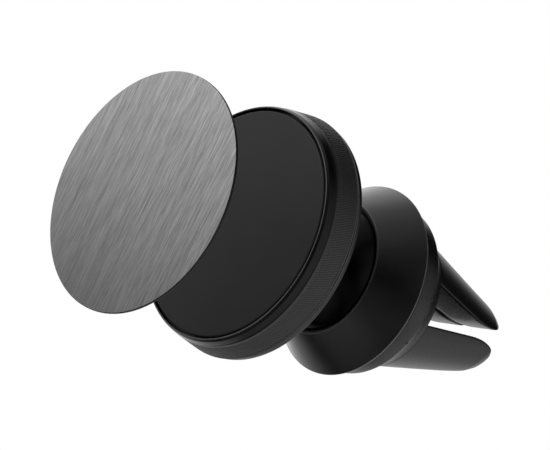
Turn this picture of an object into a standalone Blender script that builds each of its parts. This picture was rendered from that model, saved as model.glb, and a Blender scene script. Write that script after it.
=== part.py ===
"""Magnetic car phone mount with a ball joint, a locking collar and a four-prong air-vent clip.

Units are metres. The assembly's axis is Y: +Y points from the magnetic face to the prong tips.
The origin is the centre of the flat face at the root of the clip's crossed slots, where the
edge of a vent vane comes to rest. The wide slot runs along X and the narrow one along Z.
"""

import math

import bmesh
import bpy
from mathutils import Matrix, Vector

# Driving dimensions -------------------------------------------------------------------------

GAP = 0.0003  # clearance kept between neighbouring pieces

# Loose steel plate, shown held in front of the pad and a little below its centre
PLATE_RADIUS = 0.01985
PLATE_THICKNESS = 0.0005
PLATE_FRONT_Y = -0.05665
PLATE_OFFSET = (0.00004, -0.00202)  # along X and Z

# Magnetic head
HEAD_FRONT_Y = -0.0364
PAD_RADIUS = 0.01865
PAD_THICKNESS = 0.0009
BEZEL_LIP_RADIUS = 0.0191
BEZEL_BAND_FRONT_RADIUS = 0.01985
BEZEL_BAND_REAR_RADIUS = 0.02044
BEZEL_BAND_FRONT_Y = HEAD_FRONT_Y + 0.0018
BEZEL_REAR_Y = HEAD_FRONT_Y + 0.0061
BEZEL_LEDGE_Y = HEAD_FRONT_Y + 0.0012
BEZEL_BORE_RADIUS = 0.0182
CARRIER_RADIUS = 0.0178
CARRIER_THICKNESS = 0.0031
MAGNET_COUNT = 4
MAGNET_RADIUS = 0.0052
MAGNET_THICKNESS = 0.0020
MAGNET_CIRCLE_RADIUS = 0.0112
IRON_RADIUS = 0.0176
IRON_THICKNESS = 0.0006
COVER_RADIUS = 0.0202
COVER_REAR_Y = -0.02595
COVER_SCREW_CIRCLE_RADIUS = 0.0142
COVER_SCREW_HEAD_RADIUS = 0.0019
COVER_SCREW_SHANK_RADIUS = 0.0010
COVER_SCREW_SEAT_Y = -0.0289

# Ball stem, on which the head turns
BALL_RADIUS = 0.01115
BALL_Y = -0.01183
BALL_REAR_Y = -0.0043
NECK_RADIUS = 0.0050
NECK_FLANGE_RADIUS = 0.0062
NECK_FRONT_Y = -0.02485
STEM_SCREW_RADIUS = 0.0019
STEM_SCREW_HEAD_RADIUS = 0.0038
STEM_SCREW_SEAT_Y = -0.0075
STEM_SCREW_TIP_Y = -0.0346
STEM_BORE_RADIUS = STEM_SCREW_RADIUS + 0.0004
NUT_CORNER_RADIUS = 0.00395
NUT_THICKNESS = 0.0019

# Locking collar and what it clamps
SOCKET_RADIUS = BALL_RADIUS + GAP
COLLAR_FRONT_Y = -0.0156
COLLAR_REAR_Y = -0.0086
COLLAR_LIP_RADIUS = 0.01125
COLLAR_REAR_RADIUS = 0.01586
COLLAR_SKIRT_RADIUS = 0.0126
COLLAR_SKIRT_BORE_RADIUS = 0.0116
COLLAR_SKIRT_REAR_Y = -0.0066
GRIP_POCKET_RADIUS = 0.0123
GRIP_POCKET_FRONT_Y = -0.0133
GRIP_RING_REAR_Y = -0.0108
GASKET_RADIUS = 0.0141
GASKET_THICKNESS = 0.0004

# Clip base
FLANGE_RADIUS = 0.0141
FLANGE_FRONT_Y = -0.0076
FLANGE_REAR_Y = -0.0042
THREAD_BORE_RADIUS = COLLAR_SKIRT_RADIUS + GAP
SEAT_POCKET_RADIUS = 0.0106
SEAT_POCKET_FRONT_Y = -0.0061
BODY_RADIUS = 0.0130  # just behind the flange
BASE_WALL = 0.0011
ROOT_Y = -0.0002  # rear face of the base under the prongs, just below the vane rest
VANE_REST_HALF_X = 0.0085  # of the low step across the wide slot's root
VANE_REST_HALF_Z = 0.0029
SEAT_FRONT_Y = -0.0058
SEAT_REAR_Y = -0.0028
SEAT_RING_RADIUS = 0.0086
SEAT_RING_SECTION_RADIUS = 0.00055

# Prongs, in the quarters between the crossed slots. Tapers are lost per unit of length.
PRONG_LENGTH = 0.0199
PRONG_HALF_X = 0.01056  # outer half widths of the four prongs together, at the root
PRONG_HALF_Z = 0.01128
PRONG_TAPER_X = 0.200
PRONG_TAPER_Z = 0.283
ROOT_EXPONENT = 1.95  # of the outline's superellipse: 2 is an ellipse, less is leaner
TIP_EXPONENT = 1.6
WIDE_SLOT_HALF = 0.0034
WIDE_SLOT_TAPER = 0.169
NARROW_SLOT_HALF = 0.00114
NARROW_SLOT_TAPER = 0.105
NARROWEST_HALF = 0.0003
MOUTH_LENGTH = 0.0078  # over which both slots flare open again at the tips
MOUTH_FLARE_X = 0.0031
MOUTH_FLARE_Z = 0.0034
NOSE_LENGTH = 0.0021  # over which the outer sides round in
NOSE_THICKNESS = 0.0030
SLEEVE_WALL = 0.0010
CORE_LENGTH = 0.0135
PRONG_SIGNS = ((1, 1), (1, -1), (-1, -1), (-1, 1))  # of X and Z, for prongs 1 to 4

RING_STEPS = 48
SMALL_STEPS = 24
ARC_STEPS = 10
PRONG_STATIONS = 12
PRONG_ARC_STEPS = 6

# Colours are linear RGB: (colour, roughness, metallic)
FINISHES = {
    "brushed_steel": ((0.30, 0.30, 0.30), 0.35, 1.0),
    "soft_touch": ((0.024, 0.024, 0.025), 0.55, 0.0),
    "black_anodised": ((0.020, 0.020, 0.021), 0.42, 0.6),
    "black_plastic": ((0.012, 0.012, 0.012), 0.40, 0.0),
    "gloss_plastic": ((0.006, 0.006, 0.006), 0.12, 0.0),
    "white_plastic": ((0.60, 0.60, 0.57), 0.50, 0.0),
    "nickel": ((0.55, 0.54, 0.52), 0.20, 1.0),
    "zinc_steel": ((0.45, 0.45, 0.46), 0.35, 1.0),
    "black_rubber": ((0.015, 0.015, 0.015), 0.65, 0.0),
}


# Building tools -----------------------------------------------------------------------------


def clear_scene():
    for item in list(bpy.data.objects):
        bpy.data.objects.remove(item, do_unlink=True)


def finish_material(node, finish):
    """A Principled material of the piece's own, with one of the finishes above."""
    colour, roughness, metallic = FINISHES[finish]
    material = bpy.data.materials.new(node + "_" + finish)
    material.use_nodes = True
    shader = material.node_tree.nodes["Principled BSDF"]
    shader.inputs["Base Color"].default_value = (*colour, 1.0)
    shader.inputs["Roughness"].default_value = roughness
    shader.inputs["Metallic"].default_value = metallic
    material.diffuse_color = (*colour, 1.0)
    return material


def object_from(name, bm, finish=None, parent=None):
    """Turns a bmesh into a named object. Without a finish it is a cutter, kept out of the model."""
    bmesh.ops.recalc_face_normals(bm, faces=bm.faces)
    mesh = bpy.data.meshes.new(name)
    bm.to_mesh(mesh)
    bm.free()
    made = bpy.data.objects.new(name, mesh)
    bpy.context.scene.collection.objects.link(made)
    if finish is None:
        made.hide_render = True
        made.display_type = "WIRE"
        return made
    mesh.materials.append(finish_material(name, finish))
    mesh.shade_smooth()
    mesh.set_sharp_from_angle(angle=math.radians(35))
    if parent is not None:
        made.parent = parent
        made.matrix_parent_inverse = parent.matrix_world.inverted()
    return made


def axis_empty(name, place, parent=None):
    """An empty on a joint's axis, which its moving pieces are parented to."""
    made = bpy.data.objects.new(name, None)
    made.empty_display_size = 0.004
    bpy.context.scene.collection.objects.link(made)
    made.location = place
    if parent is not None:
        made.parent = parent
        made.location = Vector(place) - parent.matrix_world.translation
    bpy.context.view_layer.update()
    return made


def turned_mesh(profile, steps):
    """A closed profile of (radius, y) points turned about the Y axis."""
    bm = bmesh.new()
    points = [bm.verts.new((radius, y, 0.0)) for radius, y in profile]
    edges = [bm.edges.new((a, b)) for a, b in zip(points, points[1:] + points[:1])]
    edges = [e for e in edges if max(abs(v.co.x) for v in e.verts) > 1e-7]
    bmesh.ops.spin(
        bm,
        geom=points + edges,
        cent=(0, 0, 0),
        axis=(0, 1, 0),
        angle=math.tau,
        steps=steps,
        use_merge=True,
    )
    bmesh.ops.remove_doubles(bm, verts=bm.verts, dist=1e-6)
    return bm


def turned(name, profile, finish, parent=None, steps=RING_STEPS):
    return object_from(name, turned_mesh(profile, steps), finish, parent)


def disc_profile(radius, front_y, rear_y, bore=0.0, edge=0.0):
    """A flat disc or washer, with its outer edges broken by a small chamfer."""
    if edge == 0.0:
        return [(bore, front_y), (radius, front_y), (radius, rear_y), (bore, rear_y)]
    return [
        (bore, front_y),
        (radius - edge, front_y),
        (radius, front_y + edge),
        (radius, rear_y - edge),
        (radius - edge, rear_y),
        (bore, rear_y),
    ]


def arc(radius, centre_y, first, last, steps=ARC_STEPS):
    """Points (radius, y) on a sphere's profile, by angle from the -Y pole in radians."""
    angles = [first + (last - first) * i / steps for i in range(steps + 1)]
    return [(radius * math.sin(a), centre_y - radius * math.cos(a)) for a in angles]


def sphere_angle_at(radius, centre_y, y):
    return math.acos((centre_y - y) / radius)


def cylinders(places, radius, front_y, rear_y, corners=SMALL_STEPS):
    """Straight cylinders along Y, one at each (x, z) place."""
    bm = bmesh.new()
    for x, z in places:
        turn = Matrix.Rotation(math.radians(90), 4, "X")
        middle = Matrix.Translation((x, (front_y + rear_y) / 2, z))
        bmesh.ops.create_cone(
            bm,
            cap_ends=True,
            segments=corners,
            radius1=radius,
            radius2=radius,
            depth=rear_y - front_y,
            matrix=middle @ turn,
        )
    return bm


def block(low, high):
    """A box between two opposite corners."""
    bm = bmesh.new()
    bmesh.ops.create_cube(bm, size=1.0)
    bmesh.ops.scale(bm, verts=bm.verts, vec=Vector(high) - Vector(low))
    bmesh.ops.translate(bm, verts=bm.verts, vec=(Vector(low) + Vector(high)) / 2)
    return bm


def combine(target, name, bm, operation):
    """Joins a mesh to a piece or cuts it out of it, with a Boolean modifier."""
    modifier = target.modifiers.new(name, "BOOLEAN")
    modifier.operation = operation
    modifier.solver = "EXACT"
    modifier.object = object_from(name, bm)


def cut(target, name, bm):
    combine(target, name, bm, "DIFFERENCE")


def circle_places(radius, count, first_degrees):
    angles = [math.radians(first_degrees + 360 * i / count) for i in range(count)]
    return [(radius * math.cos(a), radius * math.sin(a)) for a in angles]


# Magnetic head ------------------------------------------------------------------------------

CARRIER_FRONT_Y = BEZEL_LEDGE_Y
CARRIER_REAR_Y = CARRIER_FRONT_Y + CARRIER_THICKNESS
POCKET_FLOOR_Y = CARRIER_REAR_Y - 0.0006
IRON_FRONT_Y = CARRIER_REAR_Y + GAP
IRON_REAR_Y = IRON_FRONT_Y + IRON_THICKNESS
SPIGOT_FRONT_Y = IRON_REAR_Y + GAP
COVER_FRONT_Y = BEZEL_REAR_Y + GAP
SCREW_HOLE_RADIUS = COVER_SCREW_SHANK_RADIUS + GAP
SCREW_HOLE_END_Y = CARRIER_REAR_Y - 0.0017
SCREW_PLACES = circle_places(COVER_SCREW_CIRCLE_RADIUS, 4, 45)
MAGNET_PLACES = circle_places(MAGNET_CIRCLE_RADIUS, MAGNET_COUNT, 0)


def make_face_pad(parent):
    profile = disc_profile(
        PAD_RADIUS, HEAD_FRONT_Y, HEAD_FRONT_Y + PAD_THICKNESS, edge=0.00015
    )
    turned("face_pad", profile, "soft_touch", parent)


def make_bezel_ring(parent):
    """Thin front lip, smooth shoulder, slightly flared grip band and a bore for the carrier."""
    shoulder_radius = BEZEL_BAND_FRONT_RADIUS - 0.00010
    profile = [
        (BEZEL_LIP_RADIUS, HEAD_FRONT_Y + 0.0001),
        (BEZEL_LIP_RADIUS + 0.0001, HEAD_FRONT_Y),
        (BEZEL_LIP_RADIUS + 0.00025, HEAD_FRONT_Y),
        (BEZEL_LIP_RADIUS + 0.0005, HEAD_FRONT_Y + 0.0004),
        (shoulder_radius, HEAD_FRONT_Y + 0.0011),
        (BEZEL_BAND_FRONT_RADIUS, BEZEL_BAND_FRONT_Y),
        (BEZEL_BAND_REAR_RADIUS, BEZEL_REAR_Y - 0.0002),
        (BEZEL_BAND_REAR_RADIUS - 0.0002, BEZEL_REAR_Y),
        (BEZEL_BORE_RADIUS, BEZEL_REAR_Y),
        (BEZEL_BORE_RADIUS, BEZEL_LEDGE_Y),
        (BEZEL_LIP_RADIUS, BEZEL_LEDGE_Y),
    ]
    turned("bezel_ring", profile, "black_anodised", parent)


def make_magnet_carrier(parent):
    """Moulded tray with a pocket for each magnet, one for the stem's nut, and blind screw holes."""
    nut_pocket_radius = NUT_CORNER_RADIUS + 0.00035
    profile = [
        (nut_pocket_radius, CARRIER_FRONT_Y),
        (CARRIER_RADIUS, CARRIER_FRONT_Y),
        (CARRIER_RADIUS, CARRIER_REAR_Y),
        (STEM_BORE_RADIUS, CARRIER_REAR_Y),
        (STEM_BORE_RADIUS, POCKET_FLOOR_Y),
        (nut_pocket_radius, POCKET_FLOOR_Y),
    ]
    carrier = turned("magnet_carrier", profile, "white_plastic", parent)
    pockets = cylinders(
        MAGNET_PLACES, MAGNET_RADIUS + GAP, CARRIER_FRONT_Y - 0.001, POCKET_FLOOR_Y
    )
    cut(carrier, "magnet_pockets", pockets)
    holes = cylinders(
        SCREW_PLACES, SCREW_HOLE_RADIUS, SCREW_HOLE_END_Y, CARRIER_REAR_Y + 0.001, 12
    )
    cut(carrier, "carrier_screw_holes", holes)


def make_magnets(parent):
    rear_y = POCKET_FLOOR_Y - GAP
    front_y = rear_y - MAGNET_THICKNESS
    for index, place in enumerate(MAGNET_PLACES, 1):
        bm = cylinders([place], MAGNET_RADIUS, front_y, rear_y)
        object_from(f"magnet_{index}", bm, "nickel", parent)


def make_back_iron(parent):
    """Steel disc that closes the magnets' field at the back."""
    profile = disc_profile(IRON_RADIUS, IRON_FRONT_Y, IRON_REAR_Y, STEM_BORE_RADIUS)
    iron = turned("back_iron", profile, "zinc_steel", parent)
    holes = cylinders(
        SCREW_PLACES,
        SCREW_HOLE_RADIUS,
        IRON_FRONT_Y - 0.001,
        IRON_REAR_Y + 0.001,
        12,
    )
    cut(iron, "iron_screw_holes", holes)


def make_rear_cover(parent):
    """Domed back shell with a spigot inside the bezel and four counterbored screw holes."""
    profile = [
        (STEM_BORE_RADIUS, SPIGOT_FRONT_Y),
        (CARRIER_RADIUS, SPIGOT_FRONT_Y),
        (CARRIER_RADIUS, COVER_FRONT_Y),
        (COVER_RADIUS, COVER_FRONT_Y),
        (COVER_RADIUS, COVER_FRONT_Y + 0.0006),
        (COVER_RADIUS - 0.0006, COVER_FRONT_Y + 0.0012),
        (0.0165, -0.0279),
        (0.0125, -0.0271),
        (0.0090, -0.0265),
        (0.0075, COVER_REAR_Y),
        (STEM_BORE_RADIUS, COVER_REAR_Y),
    ]
    cover = turned("rear_cover", profile, "black_plastic", parent)
    holes = cylinders(
        SCREW_PLACES, SCREW_HOLE_RADIUS, SPIGOT_FRONT_Y - 0.001, -0.0260, 12
    )
    cut(cover, "cover_screw_holes", holes)
    counterbores = cylinders(
        SCREW_PLACES, COVER_SCREW_HEAD_RADIUS + GAP, COVER_SCREW_SEAT_Y, -0.0255, 20
    )
    cut(cover, "cover_counterbores", counterbores)


def make_cover_screws(parent):
    """Cross-head self-tapping screws that clamp the cover, the iron and the carrier together."""
    seat_y = COVER_SCREW_SEAT_Y + GAP
    tip_y = SCREW_HOLE_END_Y + GAP
    profile = [
        (0.0, tip_y),
        (COVER_SCREW_SHANK_RADIUS * 0.6, tip_y),
        (COVER_SCREW_SHANK_RADIUS, tip_y + 0.0005),
        (COVER_SCREW_SHANK_RADIUS, seat_y),
        (COVER_SCREW_HEAD_RADIUS, seat_y),
        (COVER_SCREW_HEAD_RADIUS, seat_y + 0.0006),
        (COVER_SCREW_HEAD_RADIUS * 0.7, seat_y + 0.0010),
        (0.0, seat_y + 0.0010),
    ]
    for index, (x, z) in enumerate(SCREW_PLACES, 1):
        bm = turned_mesh(profile, 16)
        bmesh.ops.translate(bm, verts=bm.verts, vec=(x, 0.0, z))
        object_from(f"cover_screw_{index}", bm, "zinc_steel", parent)


# Ball stem ----------------------------------------------------------------------------------


def make_ball_stem(parent):
    """Ball with a flat back, short neck and a shoulder that the head turns against."""
    first = math.asin(NECK_RADIUS / BALL_RADIUS)
    last = sphere_angle_at(BALL_RADIUS, BALL_Y, BALL_REAR_Y)
    recess_radius = STEM_SCREW_HEAD_RADIUS + 0.0004
    profile = [
        (STEM_BORE_RADIUS, NECK_FRONT_Y),
        (NECK_FLANGE_RADIUS, NECK_FRONT_Y),
        (NECK_FLANGE_RADIUS, NECK_FRONT_Y + 0.0009),
        (NECK_RADIUS, NECK_FRONT_Y + 0.0015),
        *arc(BALL_RADIUS, BALL_Y, first, last, 14),
        (recess_radius, BALL_REAR_Y),
        (recess_radius, STEM_SCREW_SEAT_Y),
        (STEM_BORE_RADIUS, STEM_SCREW_SEAT_Y),
    ]
    turned("ball_stem", profile, "gloss_plastic", parent)


def make_stem_screw(parent):
    """Hex-socket screw from the back of the ball, through the neck, to the nut in the head."""
    seat_y = STEM_SCREW_SEAT_Y + GAP
    head_rear_y = seat_y + 0.0023
    profile = [
        (0.0, STEM_SCREW_TIP_Y),
        (STEM_SCREW_RADIUS - 0.0004, STEM_SCREW_TIP_Y),
        (STEM_SCREW_RADIUS, STEM_SCREW_TIP_Y + 0.0004),
        (STEM_SCREW_RADIUS, seat_y),
        (STEM_SCREW_HEAD_RADIUS, seat_y),
        (STEM_SCREW_HEAD_RADIUS, head_rear_y - 0.0003),
        (STEM_SCREW_HEAD_RADIUS - 0.0003, head_rear_y),
        (0.0, head_rear_y),
    ]
    screw = turned("stem_screw", profile, "zinc_steel", parent, SMALL_STEPS)
    socket = cylinders([(0, 0)], 0.0017, head_rear_y - 0.0014, head_rear_y + 0.001, 6)
    cut(screw, "stem_screw_socket", socket)


def make_lock_nut(parent):
    """Hexagonal nut in the middle of the carrier."""
    rear_y = POCKET_FLOOR_Y - GAP
    front_y = rear_y - NUT_THICKNESS
    bm = cylinders([(0, 0)], NUT_CORNER_RADIUS, front_y, rear_y, 6)
    nut = object_from("lock_nut", bm, "zinc_steel", parent)
    bore = cylinders(
        [(0, 0)], STEM_SCREW_RADIUS + GAP, front_y - 0.001, rear_y + 0.001
    )
    cut(nut, "lock_nut_bore", bore)


def make_swivel_washer(parent):
    """Plastic washer between the cover and the stem's shoulder."""
    profile = disc_profile(
        NECK_RADIUS, COVER_REAR_Y + GAP, NECK_FRONT_Y - GAP, STEM_BORE_RADIUS
    )
    turned("swivel_washer", profile, "white_plastic", parent, SMALL_STEPS)


# Locking collar -----------------------------------------------------------------------------


def make_locking_collar(parent):
    """Conical nut. Its lip closes over the front of the ball, and its skirt screws into the base."""
    first = sphere_angle_at(SOCKET_RADIUS, BALL_Y, COLLAR_FRONT_Y + 0.0001)
    last = sphere_angle_at(SOCKET_RADIUS, BALL_Y, GRIP_POCKET_FRONT_Y)
    profile = [
        (COLLAR_LIP_RADIUS - 0.0002, COLLAR_FRONT_Y),
        (COLLAR_LIP_RADIUS, COLLAR_FRONT_Y + 0.0002),
        (COLLAR_REAR_RADIUS, COLLAR_REAR_Y - 0.0004),
        (COLLAR_REAR_RADIUS - 0.0003, COLLAR_REAR_Y),
        (COLLAR_SKIRT_RADIUS, COLLAR_REAR_Y),
        (COLLAR_SKIRT_RADIUS, COLLAR_SKIRT_REAR_Y),
        (COLLAR_SKIRT_BORE_RADIUS, COLLAR_SKIRT_REAR_Y),
        (COLLAR_SKIRT_BORE_RADIUS, COLLAR_REAR_Y),
        (GRIP_POCKET_RADIUS, COLLAR_REAR_Y),
        (GRIP_POCKET_RADIUS, GRIP_POCKET_FRONT_Y),
        *reversed(arc(SOCKET_RADIUS, BALL_Y, first, last, 3)),
    ]
    turned("locking_collar", profile, "black_anodised", parent)


def make_grip_ring(parent):
    """Liner round the ball's equator. It rolls with the ball about the clip's axis."""
    front_y = GRIP_POCKET_FRONT_Y + GAP
    first = sphere_angle_at(SOCKET_RADIUS, BALL_Y, front_y)
    last = sphere_angle_at(SOCKET_RADIUS, BALL_Y, GRIP_RING_REAR_Y)
    profile = [
        (GRIP_POCKET_RADIUS - GAP, front_y),
        (GRIP_POCKET_RADIUS - GAP, GRIP_RING_REAR_Y),
        *reversed(arc(SOCKET_RADIUS, BALL_Y, first, last, 3)),
    ]
    turned("grip_ring", profile, "white_plastic", parent)


def make_collar_gasket(parent):
    """Rubber washer behind the collar. It travels with the collar but doesn't turn."""
    front_y = COLLAR_REAR_Y + GAP
    profile = disc_profile(
        GASKET_RADIUS,
        front_y,
        front_y + GASKET_THICKNESS,
        COLLAR_SKIRT_RADIUS + GAP,
    )
    turned("collar_gasket", profile, "black_rubber", parent)


# Clip ---------------------------------------------------------------------------------------


def make_clip_base():
    """Cup for the collar's skirt and the ball's seat, with a flange and a solid root wall."""
    profile = [
        (0.0, ROOT_Y),
        (0.0, -BASE_WALL),
        (SEAT_POCKET_RADIUS, -BASE_WALL),
        (SEAT_POCKET_RADIUS, SEAT_POCKET_FRONT_Y),
        (THREAD_BORE_RADIUS, SEAT_POCKET_FRONT_Y),
        (THREAD_BORE_RADIUS, FLANGE_FRONT_Y),
        (FLANGE_RADIUS - 0.0002, FLANGE_FRONT_Y),
        (FLANGE_RADIUS, FLANGE_FRONT_Y + 0.0002),
        (FLANGE_RADIUS, FLANGE_REAR_Y - 0.0007),
        (FLANGE_RADIUS - 0.0005, FLANGE_REAR_Y),
        (BODY_RADIUS, FLANGE_REAR_Y + 0.0001),
        (PRONG_HALF_Z, ROOT_Y),
    ]
    bm = turned_mesh(profile, RING_STEPS)
    # The round body narrows along X, to meet the prongs' oval root
    for vert in bm.verts:
        if vert.co.y > ROOT_Y - 0.0001 and vert.co.xz.length > SEAT_POCKET_RADIUS:
            vert.co.x *= PRONG_HALF_X / PRONG_HALF_Z
    base = object_from("clip_base", bm, "black_plastic")
    half_x, half_z = VANE_REST_HALF_X, VANE_REST_HALF_Z
    rest = block((-half_x, ROOT_Y - 0.0004, -half_z), (half_x, 0.0, half_z))
    combine(base, "vane_rest", rest, "UNION")


def make_ball_seat():
    """Low-friction cup behind the ball."""
    first = sphere_angle_at(SOCKET_RADIUS, BALL_Y, SEAT_FRONT_Y)
    last = sphere_angle_at(SOCKET_RADIUS, BALL_Y, SEAT_REAR_Y)
    outer_radius = SEAT_POCKET_RADIUS - GAP
    profile = [
        (outer_radius, SEAT_FRONT_Y),
        (outer_radius, SEAT_REAR_Y),
        *reversed(arc(SOCKET_RADIUS, BALL_Y, first, last, 4)),
    ]
    turned("ball_seat", profile, "white_plastic")


def make_seat_ring():
    """Rubber O-ring that presses the seat against the ball."""
    centre_y = -BASE_WALL - GAP - SEAT_RING_SECTION_RADIUS
    steps = 8
    angles = [math.tau * i / steps for i in range(steps)]
    profile = [
        (
            SEAT_RING_RADIUS + SEAT_RING_SECTION_RADIUS * math.cos(a),
            centre_y + SEAT_RING_SECTION_RADIUS * math.sin(a),
        )
        for a in angles
    ]
    turned("seat_ring", profile, "black_rubber", steps=36)


def rounding(y, length):
    """Rises from 0 to 1 along a quarter circle over the last stretch of a prong."""
    along = (y - (PRONG_LENGTH - length)) / length
    return 1 - math.sqrt(1 - min(along, 1.0) ** 2) if along > 0 else 0.0


def prong_section(y, inset):
    """Outline (x, z) of the prong in the +X +Z quarter, drawn in by an inset, at one station."""
    mouth = rounding(y, MOUTH_LENGTH)
    nose = rounding(y, NOSE_LENGTH)
    inner_x = max(NARROW_SLOT_HALF - NARROW_SLOT_TAPER * y, NARROWEST_HALF)
    inner_x += MOUTH_FLARE_X * mouth + inset
    inner_z = WIDE_SLOT_HALF - WIDE_SLOT_TAPER * y + MOUTH_FLARE_Z * mouth + inset
    outer_x = PRONG_HALF_X - PRONG_TAPER_X * y - inset
    outer_z = PRONG_HALF_Z - PRONG_TAPER_Z * y - inset
    outer_x -= (outer_x - inner_x - NOSE_THICKNESS) * nose
    outer_z -= (outer_z - inner_z - NOSE_THICKNESS) * nose
    exponent = ROOT_EXPONENT + (TIP_EXPONENT - ROOT_EXPONENT) * y / PRONG_LENGTH
    first = math.asin((inner_z / outer_z) ** (exponent / 2))
    last = math.acos((inner_x / outer_x) ** (exponent / 2))
    outline = [(inner_x, inner_z)]
    for i in range(PRONG_ARC_STEPS + 1):
        angle = first + (last - first) * i / PRONG_ARC_STEPS
        x = outer_x * math.cos(angle) ** (2 / exponent)
        z = outer_z * math.sin(angle) ** (2 / exponent)
        outline.append((x, z))
    return outline


def prong_loft(first_y, last_y, inset, signs, stations=PRONG_STATIONS):
    """Skins the sections between two stations and caps both ends."""
    sign_x, sign_z = signs
    bm = bmesh.new()
    rings = []
    for i in range(stations):
        share = math.sin(0.5 * math.pi * i / (stations - 1))  # closer together at the tip
        y = first_y + (last_y - first_y) * share
        outline = prong_section(y, inset)
        rings.append([bm.verts.new((sign_x * x, y, sign_z * z)) for x, z in outline])
    for low, high in zip(rings, rings[1:]):
        for i in range(len(low)):
            j = (i + 1) % len(low)
            bm.faces.new((low[i], low[j], high[j], high[i]))
    bm.faces.new(rings[0])
    bm.faces.new(rings[-1])
    return bm


def make_prong(index, signs, parent):
    """A stiff core and a rubber sleeve, open at the root, in one quarter of the cross."""
    root_y = ROOT_Y + GAP
    sleeve_bm = prong_loft(root_y, PRONG_LENGTH, 0.0, signs)
    sleeve = object_from(f"prong_sleeve_{index}", sleeve_bm, "black_rubber", parent)
    cavity = prong_loft(root_y - 0.001, CORE_LENGTH, SLEEVE_WALL, signs, 6)
    cut(sleeve, f"prong_cavity_{index}", cavity)
    core = prong_loft(root_y, CORE_LENGTH - GAP, SLEEVE_WALL + GAP, signs, 6)
    object_from(f"prong_core_{index}", core, "black_plastic", parent)


def make_prongs():
    """Each prong hinges at its root, on a line across its outer side."""
    reach_x = PRONG_HALF_X / math.sqrt(2)
    reach_z = PRONG_HALF_Z / math.sqrt(2)
    for index, signs in enumerate(PRONG_SIGNS, 1):
        place = (signs[0] * reach_x, GAP, signs[1] * reach_z)
        make_prong(index, signs, axis_empty(f"prong_hinge_{index}", place))


# Loose plate --------------------------------------------------------------------------------


def make_steel_plate():
    """Steel disc that is stuck to a phone and held by the magnets."""
    rear_y = PLATE_FRONT_Y + PLATE_THICKNESS
    bm = turned_mesh(
        disc_profile(PLATE_RADIUS, PLATE_FRONT_Y, rear_y, edge=0.0001), RING_STEPS
    )
    x, z = PLATE_OFFSET
    bmesh.ops.translate(bm, verts=bm.verts, vec=(x, 0.0, z))
    object_from("steel_plate", bm, "brushed_steel")


def main():
    clear_scene()
    ball_centre = (0.0, BALL_Y, 0.0)
    ball = axis_empty("ball_axis", ball_centre)
    head = axis_empty("head_axis", ball_centre, ball)
    collar = axis_empty("collar_axis", (0.0, COLLAR_REAR_Y, 0.0))

    make_face_pad(head)
    make_bezel_ring(head)
    make_magnet_carrier(head)
    make_magnets(head)
    make_back_iron(head)
    make_rear_cover(head)
    make_cover_screws(head)

    make_ball_stem(ball)
    make_stem_screw(ball)
    make_lock_nut(ball)
    make_swivel_washer(ball)

    make_grip_ring(ball)
    make_locking_collar(collar)
    make_collar_gasket(collar)

    make_clip_base()
    make_ball_seat()
    make_seat_ring()
    make_prongs()

    make_steel_plate()


main()
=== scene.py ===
"""Looks of the magnetic car phone mount: surfaces, materials, studio light and camera.

Units are metres. The assembly's axis is Y, and +Y points from the magnetic face to the prongs.
"""

import bisect
import math

import bmesh
import bpy
from mathutils import Matrix, Vector


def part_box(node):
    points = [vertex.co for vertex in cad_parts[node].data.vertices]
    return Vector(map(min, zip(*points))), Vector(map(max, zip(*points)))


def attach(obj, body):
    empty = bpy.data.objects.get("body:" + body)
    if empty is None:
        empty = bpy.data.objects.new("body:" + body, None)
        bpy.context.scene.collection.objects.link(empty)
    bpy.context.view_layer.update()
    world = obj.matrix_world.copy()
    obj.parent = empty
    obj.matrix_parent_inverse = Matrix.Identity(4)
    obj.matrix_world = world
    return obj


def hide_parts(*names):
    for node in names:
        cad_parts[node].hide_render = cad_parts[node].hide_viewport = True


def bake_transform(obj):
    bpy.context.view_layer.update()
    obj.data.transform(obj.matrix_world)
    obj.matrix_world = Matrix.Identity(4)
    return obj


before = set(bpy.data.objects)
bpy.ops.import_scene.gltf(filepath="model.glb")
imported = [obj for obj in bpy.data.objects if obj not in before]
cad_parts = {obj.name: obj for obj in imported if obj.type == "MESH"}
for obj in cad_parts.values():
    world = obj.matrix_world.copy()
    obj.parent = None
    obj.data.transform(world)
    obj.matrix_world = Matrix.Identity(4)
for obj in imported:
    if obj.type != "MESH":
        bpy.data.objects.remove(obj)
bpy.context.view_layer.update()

MM = 0.001
FINE = 192  # steps round a large turned piece
GAP = 0.3 * MM


# Where the CAD pieces are -------------------------------------------------------------------


def radius_of(node):
    low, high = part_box(node)
    return (high[0] - low[0]) / 2


def front_of(node):
    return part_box(node)[0][1]


def rear_of(node):
    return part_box(node)[1][1]


HEAD_FRONT = front_of("face_pad")
BAND_REAR = rear_of("bezel_ring")
BALL_CENTRE = -11.83 * MM
BALL_RADIUS = radius_of("ball_stem")
COLLAR_FRONT = front_of("locking_collar")
CLIP_FRONT = front_of("clip_base")


# Materials ----------------------------------------------------------------------------------


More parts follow.
